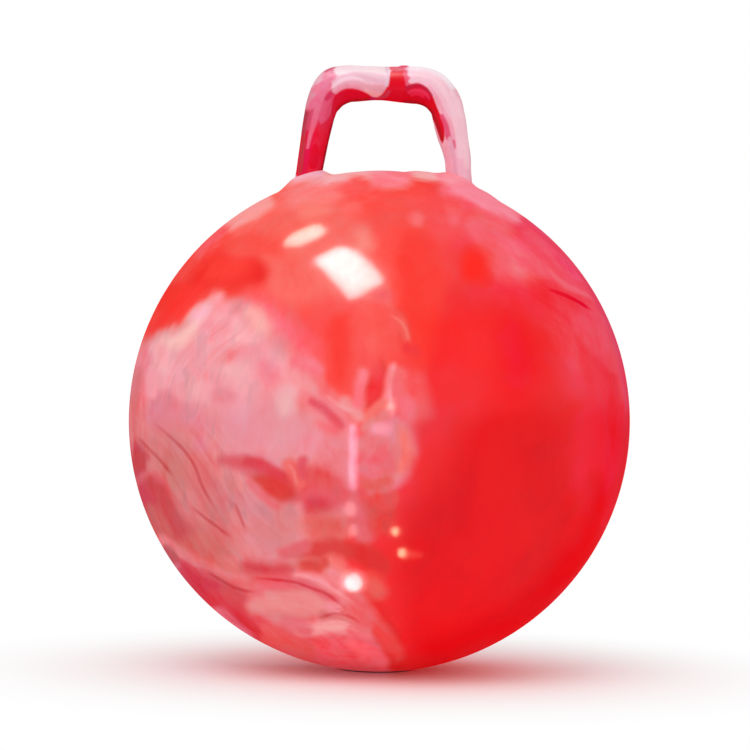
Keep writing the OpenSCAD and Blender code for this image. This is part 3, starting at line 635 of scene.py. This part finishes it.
# Thin dark and pale threads in the marbling, and the lines along which its fine streaks flow
dark_veins = [
    [(152, 421), (165, 432), (176, 442), (186, 452), (193, 462), (198, 474), (203, 488), (210, 501),
     (217, 514)],
    [(137, 436), (149, 449), (161, 461), (173, 476)],
    [(191, 505), (201, 515), (213, 524), (231, 537)],
    [(232, 499), (239, 514), (245, 530)],
    [(252, 578), (290, 580), (306, 585), (324, 592), (338, 602), (350, 613)],
    [(316, 617), (334, 612), (350, 617), (362, 624)],
    [(548, 289), (564, 295), (580, 303), (594, 312)],
    [(205, 570), (222, 581), (240, 589), (256, 592)],
]
pale_veins = [
    [(284, 574), (304, 577), (322, 582), (337, 590), (350, 599), (361, 611)],
    [(292, 624), (308, 629), (332, 627), (352, 627), (366, 634)],
    [(206, 575), (228, 586), (246, 594)],
    [(222, 500), (230, 515), (238, 530)],
    [(544, 264), (556, 278), (566, 286), (582, 293), (596, 301)],
    [(322, 392), (332, 402), (344, 408), (356, 410)],
    [(388, 313), (397, 320), (405, 330), (411, 344)],
    [(394, 358), (392, 374), (390, 390), (390, 406)],
    [(286, 462), (292, 468), (295, 478), (298, 486)],
    [(160, 540), (176, 554), (196, 565), (218, 574)],
]
guides = [
    [(128, 385), (150, 418), (176, 442), (198, 473), (218, 515), (245, 550), (285, 572)],
    [(235, 592), (300, 592), (345, 612), (392, 668)],
    [(470, 232), (520, 262), (560, 285), (600, 315), (634, 365)],
    [(160, 420), (172, 370), (205, 330), (245, 292)],
]
vein_reach, flow_reach = 6, 52
u, v = in_picture(points)
sway = 0.8 * wander(points, 40, 31)
seen = step(-0.05, 0.05, facing)
dark_side, _, dark_near = beside(u + sway, v + sway, dark_veins, vein_reach)
pale_side, _, pale_near = beside(u + sway, v - sway, pale_veins, vein_reach)
store(skin, "veins", np.stack([dark_side, dark_near * seen, pale_side, pale_near * seen], -1))
across_flow, along_flow, in_flow = beside(u + 2 * sway, v + 2 * sway, guides, flow_reach)
store(skin, "flow", np.stack([across_flow, along_flow, in_flow * seen, 0 * u], -1))


class Value:
    """A number that varies over a surface: it wraps an output socket, and each sum, difference or
    product adds its Math node."""

    def __init__(self, finish, socket):
        self.finish, self.socket = finish, socket

    def math(self, operation, *others):
        return self.finish.node("ShaderNodeMath", {"operation": operation}, dict(enumerate((self,) + others)))

    def __add__(self, other): return self.math("ADD", other)
    def __radd__(self, other): return self.math("ADD", other)
    def __sub__(self, other): return self.math("SUBTRACT", other)
    def __rsub__(self, other): return (self * -1) + other
    def __mul__(self, other): return self.math("MULTIPLY", other)
    def __rmul__(self, other): return self.math("MULTIPLY", other)

    def between(self, low, high):
        """0 at low and below, 1 at high and above, smooth between them."""
        return self.finish.node("ShaderNodeMapRange", {"interpolation_type": "SMOOTHSTEP"},
                                {"Value": self, "From Min": low, "From Max": high})


class Finish:
    """A material and the nodes in it."""

    def __init__(self, name, kind=bpy.data.materials):
        self.material = kind.new(name)
        self.material.use_nodes = True
        self.tree = self.material.node_tree
        self.tree.nodes.clear()

    def node(self, kind, settings=None, sockets=None, out=0):
        """Adds a node, sets it up, fills its sockets with numbers or links, and returns its output."""
        made = self.tree.nodes.new(kind)
        for key, value in (settings or {}).items():
            if key == "stops":
                ramp = made.color_ramp
                while len(ramp.elements) < len(value):
                    ramp.elements.new(0.5)
                for element, (at, colour) in zip(ramp.elements, value):
                    element.position, element.color = at, (*colour, 1)
            else:
                setattr(made, key, value)
        for key, value in (sockets or {}).items():
            if isinstance(value, Value):
                self.tree.links.new(value.socket, made.inputs[key])
            else:
                made.inputs[key].default_value = value
        return Value(self, made.outputs[out]) if made.outputs else made

    def mix(self, part, first, second):
        """Goes from the first colour to the second by the part."""
        return self.node("ShaderNodeMix", {"data_type": "RGBA"}, {0: part, 6: first, 7: second}, 2)

    def noise(self, place, scale, detail=2.0, rough=0.5, bent=0.0):
        """Cloudy noise from 0 to 1, about 0.5 in the middle."""
        return self.node("ShaderNodeTexNoise", None, {
            "Vector": place, "Scale": scale, "Detail": detail, "Roughness": rough, "Distortion": bent})

    def stored(self, name):
        """The four numbers that the mesh keeps for each of its points under the given name."""
        kept = self.node("ShaderNodeAttribute", {"attribute_name": name})
        parts = self.node("ShaderNodeSeparateColor", None, {0: kept}).socket.node.outputs
        return [Value(self, socket) for socket in (*parts, kept.socket.node.outputs["Alpha"])]

    def show(self, shader, kind="ShaderNodeOutputMaterial"):
        """Lets the surface show the shader, and returns the material."""
        self.node(kind, None, {"Surface": shader})
        return self.material


def colour(red, green, blue):
    """A colour given as it looks on a screen, from 0 to 255, turned into amounts of light: a thirteenth
    of it in the darkest tones, and about its power of 2.4 above them."""
    s = np.array([red, green, blue]) / 255
    return tuple(np.where(s < 0.04045, s / 12.92, ((s + 0.055) / 1.055) ** 2.4))


def marbled_vinyl(name, clear, milky, dusk, gloss, shine, fineness, veined):
    """Glossy vinyl of two batches: the clear colour and the milky one are each read off the tint, and
    the share of white goes from one to the other. The dark share pulls the colour towards dusk. Clouds
    and the smaller curds break up mottled places and the edges of the white, and broad noise shifts
    everything a little. Where it is veined, streaks run along the flow, and a pale or dark thread along
    each vein. The gloss gives way to a dull finish as the surface turns away."""
    finish = Finish(name)
    place = finish.node("ShaderNodeTexCoord", out="Object")
    milk, tint, dark, grain = finish.stored("marble")
    drawn = finish.node("ShaderNodeMapping", None, {
        "Vector": place, "Rotation": (0.3, 0.45, 0.2), "Scale": (1.0, 1.0, 0.4)})
    clouds = finish.noise(place, 24.0 * fineness, 3.0, 0.55, 0.5) - 0.5
    curds = finish.noise(drawn, 80.0 * fineness, 2.0, 0.55, 0.6) - 0.5
    broad = finish.noise(place, 9.0 * fineness, 3.0, 0.55, 0.8) - 0.5

    # Mottling, then the frayed edges between white and clear, where turning goes up to 1
    turning = milk * (1 - milk) * 4
    milk = milk + (clouds * 0.30 + curds * 0.20) * grain
    milk = milk + (clouds * 0.5 + curds * 0.35) * turning * 0.5 + broad * 0.08
    dark = dark + (curds * 1.2 + clouds * 0.7).between(-0.02, 0.45) * grain * 0.16
    dark = dark + (broad + curds * 0.4).between(-0.05, 0.3) * 0.09
    if veined:
        # Streaks are noise squeezed across the flow and drawn out along it.
        across_it, along_it, in_flow, _ = finish.stored("flow")
        grid = finish.node("ShaderNodeCombineXYZ", None, {
            0: across_it * 0.13, 1: along_it * 0.012, 2: broad * 0.5})
        streaks = (finish.noise(grid, 1.0, 2.5, 0.6, 0.4) - 0.5) * in_flow
        milk = milk + streaks * (grain * 0.36 + 0.08)
        dark = dark + (streaks * -1).between(0.03, 0.3) * grain * 0.05
        # Each thread is a band of a few pixels about its vein, bent by the curds.
        dark_side, dark_near, pale_side, pale_near = finish.stored("veins")
        pale_line = (pale_side + curds * 2.0).math("ABSOLUTE").between(3.2, 0.4) * pale_near
        dark_line = (dark_side + curds * 2.0).math("ABSOLUTE").between(2.8, 0.2) * dark_near
        milk = milk + pale_line * 0.1 - dark_line * 0.18
        dark = dark + dark_line * 0.11

    # The tint goes from -1 to 1, and the ramps of colour from 0 to 1.
    tint = (tint + clouds * 0.5 + broad * 0.4) * 0.5 + 0.5
    pure = finish.node("ShaderNodeValToRGB", {"stops": clear}, {0: tint})
    white = finish.node("ShaderNodeValToRGB", {"stops": milky}, {0: tint})
    base = finish.mix(milk.between(0.0, 1.0) * 0.35 + milk * 0.65, pure, white)
    base = finish.mix(dark, base, (*dusk, 1))

    fine = finish.noise(place, 240.0, 2.0)
    bump = finish.node("ShaderNodeBump", None, {
        "Strength": 0.05, "Distance": 0.0006, "Height": finish.noise(place, 34.0, 2.0) + fine * 0.15})
    glossy = finish.node("ShaderNodeBsdfPrincipled", None, {
        "Base Color": base, "Roughness": fine * 0.05 + gloss, "Normal": bump, "Specular IOR Level": shine})
    dull = finish.node("ShaderNodeBsdfPrincipled", None, {
        "Base Color": base, "Roughness": 0.6, "Normal": bump, "Specular IOR Level": 0.0})
    edge = finish.node("ShaderNodeLayerWeight", None, {"Blend": 0.5}, "Facing").between(0.2, 0.65)
    return finish.show(finish.node("ShaderNodeMixShader", None, {0: edge, 1: glossy, 2: dull}))


skin_clear = [(0.0, colour(255, 36, 24)), (0.5, colour(246, 4, 14)), (1.0, colour(252, 20, 90))]
skin_milky = [(0.0, colour(255, 198, 180)), (0.5, colour(255, 192, 196)), (1.0, colour(255, 192, 222))]
dusk = colour(125, 22, 42)
skin.data.materials.append(marbled_vinyl(
    "skin_vinyl", skin_clear, skin_milky, dusk, gloss=0.10, shine=0.10, fineness=1.0, veined=True))

# ---- Handle ----------------------------------------------------------------
# A hollow grip of the same vinyl, moulded apart in other batches of colour. Its crossbar bends down at
# two corners into legs that narrow to feet, and the feet stand welded in the ball's collars. On top of
# the bar is the trimmed nib of the mould's vent.
gap_h = 62.5
bar_r = 15.5
bar_z = crown_z + gap_h + bar_r
grip_span = 104.5
lean = np.radians(10.3)
bend_r = 28.5
turn_angle = np.pi / 2 - lean
turn_cut = bend_r * np.tan(turn_angle / 2)
bar_half = grip_span / 2 - turn_cut
to_foot = 95.8
half_length = bar_half + bend_r * turn_angle + to_foot - turn_cut

# The left and the right half, each as (distance along the centre line from the bar's middle, reach)
grip_outside = [
    [(0, 16.2), (22, 16.6), (36, 17.5), (42, 19.6), (47, 19.4), (51, 18.4), (56, 16.9), (63, 15.0),
     (70, 14.9), (81, 14.5), (90, 14.1), (99, 13.4), (108, 12.9), (117, 12.4), (126, 11.8), (141, 11.5)],
    [(0, 16.2), (22, 16.7), (39, 16.8), (44, 17.0), (50, 15.8), (59, 15.4), (68, 15.0), (78, 15.6),
     (97, 14.7), (106, 14.7), (115, 14.1), (124, 12.6), (141, 11.5)],
]
grip_inside = [
    [(0, 14.2), (10, 14.1), (27, 15.9), (43, 16.3), (60, 15.3), (71, 13.1), (75, 12.6), (94, 11.7),
     (121, 11.6), (141, 11.5)],
    [(0, 14.2), (12, 15.6), (23, 16.6), (34, 17.1), (42, 16.8), (59, 15.6), (69, 14.1), (74, 14.0),
     (84, 13.4), (92, 12.3), (102, 10.2), (111, 9.2), (120, 10.0), (141, 11)],
]
nib_at = 17.0
nib_h = 1.05


def grip_line(t):
    """Centre line of the handle at distances t from the bar's middle: straight along the bar, round
    each corner on an arc, then straight down the leaning leg. Returns the points and the directions
    that point out of the loop."""
    side, s = np.sign(t), np.abs(t)
    bend = np.clip((s - bar_half) / bend_r, 0, turn_angle)
    rest = np.maximum(s - bar_half - bend_r * turn_angle, 0)
    x = np.minimum(s, bar_half) + bend_r * np.sin(bend) + rest * np.cos(turn_angle)
    z = bar_z - bend_r * (1 - np.cos(bend)) - rest * np.sin(turn_angle)
    return np.stack([side * x, 0 * x, z], -1), np.stack([side * np.sin(bend), 0 * x, np.cos(bend)], -1)


def grip_rings():
    """Rings of the handle: each is an oval that reaches out of the loop by one table, into it by
    another, and to the front and back by their mean, with slow waves of a third of a millimetre as
    soft vinyl has. The nib is a flat-topped bump on the outside of the bar."""
    nib_long, nib_wide = 4.2, 4.0
    t = np.linspace(-half_length, half_length, 316)
    turn = np.linspace(0, 2 * np.pi, 96, endpoint=False)
    middle, out = grip_line(t)
    front = np.array([0.0, 1.0, 0.0])
    reach = []
    for tables in (grip_outside, grip_inside):
        left, right = (np.interp(np.abs(t), *smooth_table(table, reach=150, blur=2.2)) for table in tables)
        reach.append(np.where(t < 0, left, right)[:, None])
    outer, inner = reach
    c, s = np.cos(turn), np.sin(turn)
    wave = 0.18 * np.sin(t / 9.0)[:, None] * np.sin(turn + 1)
    wave = wave + 0.15 * np.sin(t / 5.3 + 2)[:, None] * np.sin(2 * turn)
    nib = nib_h * np.exp(-((t - nib_at) / nib_long) ** 4)[:, None]
    nib = nib * np.exp(-(16 * np.abs(s) / nib_wide) ** 4) * (c > 0)
    height = np.where(c > 0, outer, inner) + wave * s ** 2 + nib
    depth = (outer + inner) / 2 + wave
    return middle[:, None] + (height * c)[..., None] * out[:, None] + (depth * s)[..., None] * front


rings = grip_rings()
grip = new_piece("marbled_grip", rings, first=rings[0].mean(0), last=rings[-1].mean(0))
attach(grip, "ball")
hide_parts("handle")

grip_strokes = [
    # the left leg
    (4, (0.02, 0.24, 0.09, 0.1), [(290, 182), (296, 140), (300, 112), (312, 118), (318, 104), (326, 90),
     (336, 92), (346, 100), (338, 125), (330, 182)]),
    (3, (0.03, 0.31, 0.08, 0.1), [(304, 176), (306, 156), (312, 140), (318, 136), (320, 152), (318, 176)]),
    (3, (-0.04, 0.17, 0.16, 0.1), [(307, 168), (309, 152), (314, 142), (318, 146), (317, 168)]),
    (3, (0.01, 0.2, 0.09, 0.1), [(318, 172, 1), (321, 156, 1.5), (326, 136, 1.5), (330, 120, 1)]),
    (3, (-0.05, 0.03, 0.7, 0), [(322, 172, 0.8), (327, 150, 0.8), (333, 124, 0.8), (338, 108, 0.8),
     (350, 101, 0.5)]),
    (3, (-0.05, 0.5, 0.1, 0.1), [(302, 176, 1), (304, 160, 1.5), (307, 144, 2), (311, 128, 2)]),
    (3, (0.08, 0.07, 0.47, 0), [(299, 172, 0.8), (301, 155, 1), (303, 138, 1), (305, 124, 0.5)]),
    (3, (0.12, 0.38, 0.56, 0), [(303, 132, 1), (306, 118, 2), (309, 106, 2), (314, 100, 1)]),
    (3, (0.11, 0.63, 0.22, 0.1), [(308, 128, 1), (311, 114, 1.5), (316, 100, 1.5)]),
    (2.5, (0.22, 0.69, 0, 0), [(307, 147, 0.3), (310, 134, 0.8), (314, 120, 1.8), (318, 106, 2),
     (322, 96, 1.2)]),
    (4, (0.19, 0.95, 0, 0.2), [(318, 122), (320, 108), (326, 96), (334, 92), (332, 106), (326, 120)]),
    (3, (0.08, 0.6, 0, 0.1), [(324, 116, 1), (327, 104, 2), (332, 96, 1.5)]),
    (2.5, (0.13, 0.66, 0, 0.1), [(321, 121, 0.8), (324, 110, 1.5), (328, 100, 1)]),
    # the upper left corner
    (5, (0.24, 0.87, 0, 0.3), [(303, 112), (308, 90), (318, 76), (328, 68), (338, 72), (334, 84), (326, 94),
     (316, 108)]),
    (3, (0.47, 0.72, 0.23, 0.2), [(305, 106, 1), (309, 96, 2), (314, 90, 2)]),
    (3, (0.27, 0.66, 0.01, 0.2), [(315, 90, 1.5), (320, 86, 2), (325, 88, 1)]),
    (3, (0.61, 0.55, 0.19, 0.1), [(311, 84, 1), (317, 79, 2), (323, 75, 1.5)]),
    (3, (0.35, 0.83, 0.02, 0.1), [(324, 78, 1), (327, 74, 2), (330, 71, 1)]),
    (2.5, (0.29, 0.93, 0.05, 0), [(332, 70, 1), (333, 77, 1.2), (328, 84, 1.5), (322, 88, 1)]),
    (2.5, (0.05, 0.58, 0.2, 0), [(326, 98, 1), (331, 92, 1.5), (338, 87, 1.2), (346, 84, 0.8)]),
    (2, (0.26, 0.61, 0.24, 0), [(324, 70, 0.8), (329, 67, 1.8), (334, 65.5, 1.4)]),
    # the bar: whitish above, thin mauve arcs, the drip
    (4, (0.9, 0.11, 0.12, 0), [(338, 70, 2), (356, 68, 3), (374, 68, 3), (388, 69, 3)]),
    (4, (0.8, 0.67, 0.19, 0), [(340, 76), (352, 72), (370, 73), (388, 76), (388, 82), (370, 82), (350, 80)]),
    (2.5, (0.71, 0.9, 0.18, 0), [(333, 82, 0.6), (340, 77, 1), (350, 74, 1), (362, 76, 1), (376, 80, 1),
     (388, 82, 0.6)]),
    (3, (0.82, 0.73, 0.07, 0), [(334, 86, 1), (342, 80, 1.8), (352, 78.5, 2), (360, 81, 1)]),
    (3, (0.58, 0.81, 0.13, 0), [(334, 90, 1), (342, 84, 1.5), (354, 82, 1.5), (362, 85, 1)]),
    (2.5, (0.42, 0.79, 0, 0), [(336, 92, 0.8), (342, 87, 1.2), (350, 85.5, 1.2), (358, 87, 1),
     (366, 91, 0.6)]),
    (3, (0.56, 0.62, 0.14, 0), [(358, 86), (364, 84), (378, 84), (387, 82), (386, 90), (382, 96), (374, 97),
     (368, 94)]),
    (3, (0.51, 0.18, 0, 0), [(366, 91, 0.8), (372, 94, 1.5), (379, 94, 1.2)]),
    # crimson below, the band across and the arch
    (2, (0, 0.18, 0.18, 0), [(330, 120), (332, 98), (338, 92), (344, 88), (351, 87.5), (358, 89), (366, 93),
     (372, 97), (378, 101), (364, 106), (344, 114)]),
    (2.5, (-0.05, -0.24, 0.58, 0), [(338, 108, 0.6), (346, 102, 0.8), (358, 100.5, 0.8), (370, 99.5, 0.6)]),
    (2, (0.03, 1, 0.24, 0), [(370, 98.5, 0.6), (378, 99, 0.8), (386, 98.5, 0.8)]),
    (2, (-0.01, 0.03, 0.17, 0), [(389, 70), (399, 68), (406, 70), (406, 84), (409, 104), (396, 104),
     (374, 101), (378, 96.5), (382.5, 92.5), (387, 85)]),
    (2, (0.08, 0.42, 0.31, 0), [(379, 98, 0.6), (384, 95.5, 1), (388, 91, 0.8)]),
    (3, (0.25, 0.4, 0.08, 0), [(389, 64), (397, 66), (405, 64), (405, 70), (396, 71), (389, 70)]),
    (2.5, (0.95, 1, 0.24, 0), [(386, 64, 0.6), (387, 69, 0.8), (387, 76, 0.6), (386, 84, 0.4)]),
    (3, (0.15, 0.57, 0, 0), [(405, 72, 1), (407, 78, 1.5), (408, 84, 1)]),
    (2, (-0.04, 0.01, 0.22, 0), [(402, 104), (403, 89), (410, 84), (418, 82.5), (426, 87), (431.5, 93.5),
     (435, 102.5), (439, 113), (443, 121), (444, 131), (443, 140), (441, 145), (436, 126), (428, 110),
     (416, 106)]),
    (2, (0.01, 0.31, 0.44, 0), [(406, 87.5, 0.5), (412, 85.5, 0.7), (419, 85, 0.7), (426, 89, 0.7),
     (431, 95, 0.5)]),
    (2, (0.04, 0.38, 0, 0), [(408, 92.5, 0.4), (413, 90, 0.9), (420, 90, 1.1), (426, 94, 0.8),
     (429, 98, 0.4)]),
    (2.5, (0.02, 0.25, 0, 0), [(411, 95, 0.8), (417, 93, 1), (423, 96, 0.8)]),
    (2, (-0.05, -0.07, 0.57, 0), [(404, 101.5, 0.5), (416, 102, 0.7), (428, 107, 0.8), (434, 116, 0.8),
     (438, 128, 0.8), (441, 139, 0.6)]),
    (3, (0.16, 0.82, 0.04, 0.1), [(442, 116, 1.5), (447, 125, 3), (449, 136, 3.5), (452, 146, 2)]),
    # the right leg
    (3, (0.73, 0.48, 0.04, 0), [(410, 74, 1), (424, 73, 2), (436, 79, 2.5), (444, 90, 2), (452, 108, 2),
     (458, 130, 2), (461, 155, 2)]),
    (3, (0.71, 0.51, 0, 0), [(452, 92, 1), (458, 104, 2), (463, 120, 2), (466, 142, 2), (467, 166, 1)]),
    (5, (0.99, 0.21, 0.05, 0), [(411, 68, 0.5), (424, 67, 0.8), (437, 71, 1.2), (446, 78, 0.8),
     (452, 86, 0.2)]),
    (2.5, (0.69, 0.66, 0.08, 0), [(410, 81, 0.6), (420, 78.5, 0.8), (430, 81, 0.8), (438, 89, 0.8),
     (445, 102, 0.8), (450, 114, 0.6)]),
    (2.5, (0.52, 0.86, 0.01, 0), [(430, 88, 0.6), (436, 97, 0.8), (442, 108, 0.8), (449, 122, 0.8),
     (453, 138, 0.6)]),
    (3, (0.55, 0.76, 0, 0.1), [(446, 142, 1), (448, 152, 2.5), (450, 164, 3), (450, 176, 2)]),
    (2.5, (0.58, 1, 0.11, 0), [(449, 138, 0.6), (452, 150, 0.9), (454.5, 162, 0.9), (456, 174, 0.6)]),
    (2, (0.6, 0.45, 0.16, 0), [(461, 96, 0.3), (465.5, 110, 0.7), (469, 128, 0.9), (471.5, 150, 0.9),
     (472.5, 168, 0.7)]),
    # the nib and its dark cut tip
    (1.5, (0.16, 0.63, 0.02, 0), [(398, 68), (399, 64.5), (409, 61), (409, 67)]),
    (1.2, (0.05, 0.3, 0.6, 0), [(405.5, 63.5, 0.6), (409, 63, 0.8)]),
]

# On the back, swirls of white over crimson and magenta
points, facing = mesh_points(grip)
folds = np.stack([wander(points, 50, 21), wander(points, 44, 22), wander(points, 55, 23)], -1)
swirl = wander(points + 7 * folds, 62, 24)
grip_back = np.stack([
    0.05 + 0.75 * step(-0.5, -0.1, swirl),
    np.clip(0.45 + 0.5 * wander(points, 60, 25), -1, 1),
    0 * swirl,
    0.4 + 0 * swirl], -1)
grip_ground = (0.63, 0.72, 0.02, 0.1)
store(grip, "marble", marble(points, facing, grip_strokes, grip_ground, grip_back, warp=0.3, drift=6))

grip_clear = [(0.0, colour(255, 60, 50)), (0.5, colour(240, 0, 24)), (1.0, colour(222, 26, 104))]
grip_milky = [(0.0, colour(255, 226, 218)), (0.5, colour(255, 240, 244)), (1.0, colour(255, 222, 240))]
grip.data.materials.append(marbled_vinyl(
    "grip_vinyl", grip_clear, grip_milky, dusk, gloss=0.35, shine=0.05, fineness=2.6, veined=False))

# ---- Valve seat ------------------------------------------------------------
# A soft vinyl bush bonded into the thick crown: a flange under the skin and a sleeve that grips the
# plug. Only its ring in the floor of the dimple can be seen, and that only with the plug drawn.


def plain_vinyl(name, light, shade, gloss):
    """Satin vinyl in one pale colour: soft clouds and a fine grain go from the light to the shaded
    colour, and the grain also makes the gloss uneven and roughens the surface a little."""
    finish = Finish(name)
    place = finish.node("ShaderNodeTexCoord", out="Object")
    clouds, fine = finish.noise(place, 120.0, 3.0), finish.noise(place, 900.0, 2.0)
    bump = finish.node("ShaderNodeBump", None, {"Strength": 0.12, "Distance": 0.0003, "Height": fine})
    return finish.show(finish.node("ShaderNodeBsdfPrincipled", None, {
        "Base Color": finish.mix(clouds * 0.6 + fine * 0.3, (*colour(*light), 1), (*colour(*shade), 1)),
        "Roughness": fine * 0.12 + gloss, "Normal": bump}))


def dress(node, material):
    """Gives a CAD node a material in place of its own."""
    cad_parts[node].data.materials.clear()
    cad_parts[node].data.materials.append(material)


dress("valve_seat", plain_vinyl("seat_vinyl", (226, 220, 208), (206, 196, 182), gloss=0.42))

# ---- Air plug --------------------------------------------------------------
# A push-in stopper of firmer plastic with three sealing ribs on a hollow stem. Its head lies flush in
# the dimple, dished on top and bevelled below for a fingernail, and it pulls straight up.
dress("air_plug", plain_vinyl("plug_plastic", (238, 238, 234), (222, 222, 218), gloss=0.3))

# ---- Studio ----------------------------------------------------------------
# Not part of the object: a level floor whose pale paint goes over into an even white glow, a broad soft
# lamp above, a weak one under the ball for the light that the floor throws back, small bright panels
# that only gloss sees, and the camera.
floor_turn = np.linspace(0, 2 * np.pi, 96, endpoint=False)
floor = new_piece(
    "studio_floor", lathe([(300, 0), (600, 0), (1500, 0), (9000, 0)], floor_turn), first=(0, 0, 0))


def seen_light(finish):
    """1 for the rays that show the background: straight from the camera, in gloss or through glass."""
    rays = finish.node("ShaderNodeLightPath").socket.node.outputs
    seen = Value(finish, rays["Is Camera Ray"]).math("MAXIMUM", Value(finish, rays["Is Glossy Ray"]))
    return seen.math("MAXIMUM", Value(finish, rays["Is Transmission Ray"]))


paint = Finish("floor_paint")
place = paint.node("ShaderNodeTexCoord", out="Object")
distance = paint.node("ShaderNodeVectorMath", {"operation": "LENGTH"}, {0: place}, "Value")
flat_paint = paint.node("ShaderNodeBsdfPrincipled", None, {
    "Base Color": paint.mix(paint.noise(place, 900.0) * 0.1, (0.95, 0.95, 0.95, 1), (0.92, 0.92, 0.92, 1)),
    "Roughness": 0.9, "Specular IOR Level": 0.0})
glow = paint.node("ShaderNodeEmission", None, {"Color": (1, 1, 1, 1), "Strength": 1.0})
floor.data.materials.append(paint.show(paint.node("ShaderNodeMixShader", None, {
    0: distance.between(0.08, 0.45) * seen_light(paint), 1: flat_paint, 2: glow})))


def stand(thing, right, up, back, at):
    """Puts a lamp or camera into the scene at a place in metres, given its own three directions."""
    scene.collection.objects.link(thing)
    rows = [[right[i], up[i], back[i], at[i]] for i in range(3)]
    thing.matrix_world = Matrix(rows + [[0, 0, 0, 1]])


def lamp(name, at, size, power):
    """A square soft lamp that looks at the ball's middle and doesn't show in its gloss. Its sides follow
    from the line of sight and an upward direction that leans a thousandth, for the lamp straight below."""
    light = bpy.data.lights.new(name, "AREA")
    light.size, light.energy = size, power
    back = np.array(at) - centre * MM
    back /= np.linalg.norm(back)
    right = np.cross([0, 0.001, 1], back)
    right /= np.linalg.norm(right)
    holder = bpy.data.objects.new(name, light)
    stand(holder, right, np.cross(back, right), back, at)
    holder.visible_glossy = holder.visible_camera = False


lamp("key_lamp", (-0.6, -1.6, 2.2), size=1.8, power=18.5)
lamp("floor_bounce", (0, 0, 0.001), size=1.2, power=1.2)


def glint(name, pixels, reach, strength, tone=(255, 255, 255)):
    """A bright panel that only gloss sees, at the place where the camera finds it mirrored in the ball
    at the given pixels: each line of sight meets the ball at the nearer root of a quadratic, turns about
    the outward direction there, and runs on for the given length."""
    pixels = np.array(pixels, float)
    ray = ((pixels[:, :1] - middle_px) * across - (pixels[:, 1:] - middle_px) * upward) / focal_px + ahead
    ray /= np.linalg.norm(ray, axis=1)[:, None]
    b = ray @ (centre - eye)
    root = np.maximum(b ** 2 - ((centre - eye) @ (centre - eye)) + ball_r ** 2, 0)
    met = eye + (b - np.sqrt(root))[:, None] * ray
    out = (met - centre) / ball_r
    corners = met + reach * (ray - 2 * (ray * out).sum(1)[:, None] * out)
    count = len(corners)
    mesh = bpy.data.meshes.new(name)
    mesh.from_pydata((np.vstack([corners, corners.mean(0)]) * MM).tolist(), [],
                     [(i, (i + 1) % count, count) for i in range(count)])
    glow = Finish(name)
    mesh.materials.append(glow.show(glow.node("ShaderNodeEmission", None, {
        "Color": (*colour(*tone), 1), "Strength": strength})))
    panel = bpy.data.objects.new(name, mesh)
    scene.collection.objects.link(panel)
    panel.visible_camera = panel.visible_diffuse = panel.visible_shadow = panel.visible_transmission = False


def ring(u, v, r, tall=1.0):
    """Corners of a round or upright oval panel about a pixel, in pixels."""
    turn = np.linspace(0, 2 * np.pi, 10, endpoint=False)
    return np.stack([u + r * np.cos(turn), v + tall * r * np.sin(turn)], -1)


# The bright spots on the front: a window and its side light, a lamp low in front, and small reflections
window_far = 1700
amber, blush, violet = (255, 225, 180), (255, 225, 225), (225, 215, 255)
glint("window", [(313, 260), (340, 246), (358, 253), (382, 279), (381, 283), (350, 299)], window_far, 84)
glint("far_window", [(282, 243), (295, 231), (317, 224), (326, 229), (320, 236), (297, 246)], window_far, 72,
      (255, 236, 222))
glint("low_lamp", ring(352.8, 582.2, 9), 80, 80)
glint("low_lamp_glow", ring(352.8, 582.2, 15), 84, 11)
glint("left_dot", ring(394.6, 531, 3.8), 150, 115, amber)
glint("right_dot", ring(401.9, 552.6, 4.2), 110, 104, amber)
glint("right_dot_tail", [(404, 550), (422, 554), (422, 556), (404, 556)], 110, 14, (255, 200, 170))
glint("fleck", ring(390, 405.5, 3.4), 200, 57, amber)
glint("post", [(349.5, 424), (357, 424), (356.5, 489), (349.5, 489)], 280, 48, violet)
glint("post_foot", ring(350, 508.5, 6, 1.4), 220, 29, blush)
glint("post_base", ring(352, 530.5, 4.5, 1.6), 160, 27, blush)

camera = bpy.data.objects.new("camera", bpy.data.cameras.new("camera"))
sensor_mm = 36.0
camera.data.sensor_width = sensor_mm
camera.data.lens = sensor_mm * focal_px / picture_px
stand(camera, across, upward, -ahead, eye * MM)
scene.camera = camera

# The air looks white, and lights the object a little less strongly than that.
air_level = 0.78
world = Finish("studio_air", bpy.data.worlds)
scene.world = world.show(world.node("ShaderNodeBackground", None, {
    "Color": (1, 1, 1, 1), "Strength": seen_light(world) * (1 - air_level) + air_level}),
    "ShaderNodeOutputWorld")

scene.view_settings.view_transform = "Standard"
